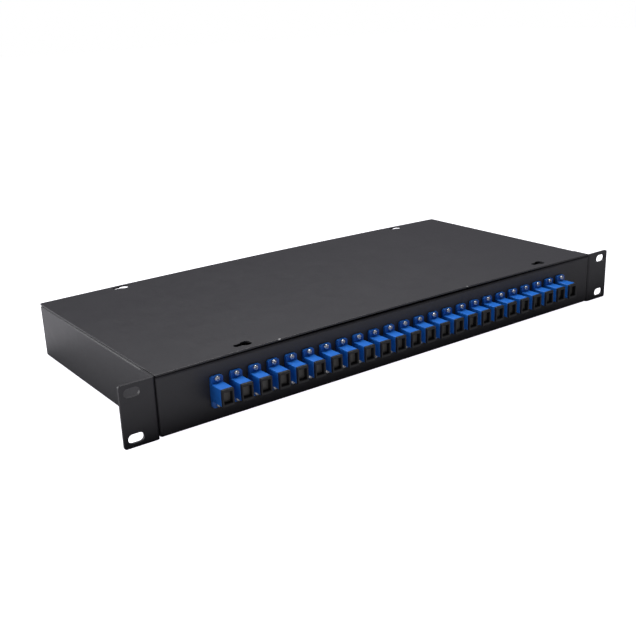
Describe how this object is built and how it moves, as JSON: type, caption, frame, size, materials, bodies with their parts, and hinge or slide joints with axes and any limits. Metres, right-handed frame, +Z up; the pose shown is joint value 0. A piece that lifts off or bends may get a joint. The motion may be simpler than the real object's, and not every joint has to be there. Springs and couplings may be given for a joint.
{
  "type": "fibre patch panel",
  "caption": "One-unit 19-inch rack fibre patch panel: folded steel case with lift-off cover, two slotted ears and a row of capped SC adapters.",
  "frame": {"origin": "centre of the rack hole pattern on the rear face of the ears, the mounting plane", "axes": "+X to the right-hand ear, +Y into the rack towards the rear wall, +Z up"},
  "size_m": [0.4826, 0.2216, 0.0462],
  "materials": {
    "black_coat": "satin fine-texture powder coat",
    "adapter_blue": "satin moulded",
    "cap_plastic": "satin moulded",
    "plated_screw": "bright nickel plating",
    "zirconia": "polished",
    "rubber": "matte",
    "tray_plastic": "satin moulded",
    "clear_lid": "clear"
  },
  "bodies": {
    "case": {"chassis_tray": "black_coat", "left_ear": "black_coat", "right_ear": "black_coat", "entry_edging": "rubber", "splice_tray": "tray_plastic", "alignment_sleeves": "zirconia", "adapter_screws": "plated_screw", "case_screws": "plated_screw", "adapter_01": "adapter_blue", "adapter_02": "adapter_blue", "adapter_03": "adapter_blue", "adapter_04": "adapter_blue", "adapter_05": "adapter_blue", "adapter_06": "adapter_blue", "adapter_07": "adapter_blue", "adapter_08": "adapter_blue", "adapter_09": "adapter_blue", "adapter_10": "adapter_blue", "adapter_11": "adapter_blue", "adapter_12": "adapter_blue", "adapter_13": "adapter_blue", "adapter_14": "adapter_blue", "adapter_15": "adapter_blue", "adapter_16": "adapter_blue", "adapter_17": "adapter_blue", "adapter_18": "adapter_blue", "adapter_19": "adapter_blue", "adapter_20": "adapter_blue", "adapter_21": "adapter_blue", "adapter_22": "adapter_blue", "adapter_23": "adapter_blue", "adapter_24": "adapter_blue"},
    "cover": {"top_cover": "black_coat", "cover_screws": "plated_screw"},
    "splice_lid": {"splice_tray_lid": "clear_lid"},
    "rear_caps": {"rear_dust_caps": "cap_plastic"},
    "cap_01": {"dust_cap_01": "cap_plastic"},
    "cap_02": {"dust_cap_02": "cap_plastic"},
    "cap_03": {"dust_cap_03": "cap_plastic"},
    "cap_04": {"dust_cap_04": "cap_plastic"},
    "cap_05": {"dust_cap_05": "cap_plastic"},
    "cap_06": {"dust_cap_06": "cap_plastic"},
    "cap_07": {"dust_cap_07": "cap_plastic"},
    "cap_08": {"dust_cap_08": "cap_plastic"},
    "cap_09": {"dust_cap_09": "cap_plastic"},
    "cap_10": {"dust_cap_10": "cap_plastic"},
    "cap_11": {"dust_cap_11": "cap_plastic"},
    "cap_12": {"dust_cap_12": "cap_plastic"},
    "cap_13": {"dust_cap_13": "cap_plastic"},
    "cap_14": {"dust_cap_14": "cap_plastic"},
    "cap_15": {"dust_cap_15": "cap_plastic"},
    "cap_16": {"dust_cap_16": "cap_plastic"},
    "cap_17": {"dust_cap_17": "cap_plastic"},
    "cap_18": {"dust_cap_18": "cap_plastic"},
    "cap_19": {"dust_cap_19": "cap_plastic"},
    "cap_20": {"dust_cap_20": "cap_plastic"},
    "cap_21": {"dust_cap_21": "cap_plastic"},
    "cap_22": {"dust_cap_22": "cap_plastic"},
    "cap_23": {"dust_cap_23": "cap_plastic"},
    "cap_24": {"dust_cap_24": "cap_plastic"}
  },
  "joints": [
    {"name": "cover_lift", "type": "slide", "parent": "case", "child": "cover", "axis": [0, 0, 1], "range_m": [0, 0.12]},
    {"name": "splice_lid_lift", "type": "slide", "parent": "case", "child": "splice_lid", "axis": [0, 0, 1], "range_m": [0, 0.022]},
    {"name": "rear_caps_pull", "type": "slide", "parent": "case", "child": "rear_caps", "axis": [0, 1, 0], "range_m": [0, 0.03]},
    {"name": "cap_01_pull", "type": "slide", "parent": "case", "child": "cap_01", "axis": [0, -1, 0], "range_m": [0, 0.035]},
    {"name": "cap_02_pull", "type": "slide", "parent": "case", "child": "cap_02", "axis": [0, -1, 0], "range_m": [0, 0.035]},
    {"name": "cap_03_pull", "type": "slide", "parent": "case", "child": "cap_03", "axis": [0, -1, 0], "range_m": [0, 0.035]},
    {"name": "cap_04_pull", "type": "slide", "parent": "case", "child": "cap_04", "axis": [0, -1, 0], "range_m": [0, 0.035]},
    {"name": "cap_05_pull", "type": "slide", "parent": "case", "child": "cap_05", "axis": [0, -1, 0], "range_m": [0, 0.035]},
    {"name": "cap_06_pull", "type": "slide", "parent": "case", "child": "cap_06", "axis": [0, -1, 0], "range_m": [0, 0.035]},
    {"name": "cap_07_pull", "type": "slide", "parent": "case", "child": "cap_07", "axis": [0, -1, 0], "range_m": [0, 0.035]},
    {"name": "cap_08_pull", "type": "slide", "parent": "case", "child": "cap_08", "axis": [0, -1, 0], "range_m": [0, 0.035]},
    {"name": "cap_09_pull", "type": "slide", "parent": "case", "child": "cap_09", "axis": [0, -1, 0], "range_m": [0, 0.035]},
    {"name": "cap_10_pull", "type": "slide", "parent": "case", "child": "cap_10", "axis": [0, -1, 0], "range_m": [0, 0.035]},
    {"name": "cap_11_pull", "type": "slide", "parent": "case", "child": "cap_11", "axis": [0, -1, 0], "range_m": [0, 0.035]},
    {"name": "cap_12_pull", "type": "slide", "parent": "case", "child": "cap_12", "axis": [0, -1, 0], "range_m": [0, 0.035]},
    {"name": "cap_13_pull", "type": "slide", "parent": "case", "child": "cap_13", "axis": [0, -1, 0], "range_m": [0, 0.035]},
    {"name": "cap_14_pull", "type": "slide", "parent": "case", "child": "cap_14", "axis": [0, -1, 0], "range_m": [0, 0.035]},
    {"name": "cap_15_pull", "type": "slide", "parent": "case", "child": "cap_15", "axis": [0, -1, 0], "range_m": [0, 0.035]},
    {"name": "cap_16_pull", "type": "slide", "parent": "case", "child": "cap_16", "axis": [0, -1, 0], "range_m": [0, 0.035]},
    {"name": "cap_17_pull", "type": "slide", "parent": "case", "child": "cap_17", "axis": [0, -1, 0], "range_m": [0, 0.035]},
    {"name": "cap_18_pull", "type": "slide", "parent": "case", "child": "cap_18", "axis": [0, -1, 0], "range_m": [0, 0.035]},
    {"name": "cap_19_pull", "type": "slide", "parent": "case", "child": "cap_19", "axis": [0, -1, 0], "range_m": [0, 0.035]},
    {"name": "cap_20_pull", "type": "slide", "parent": "case", "child": "cap_20", "axis": [0, -1, 0], "range_m": [0, 0.035]},
    {"name": "cap_21_pull", "type": "slide", "parent": "case", "child": "cap_21", "axis": [0, -1, 0], "range_m": [0, 0.035]},
    {"name": "cap_22_pull", "type": "slide", "parent": "case", "child": "cap_22", "axis": [0, -1, 0], "range_m": [0, 0.035]},
    {"name": "cap_23_pull", "type": "slide", "parent": "case", "child": "cap_23", "axis": [0, -1, 0], "range_m": [0, 0.035]},
    {"name": "cap_24_pull", "type": "slide", "parent": "case", "child": "cap_24", "axis": [0, -1, 0], "range_m": [0, 0.035]}
  ]
}
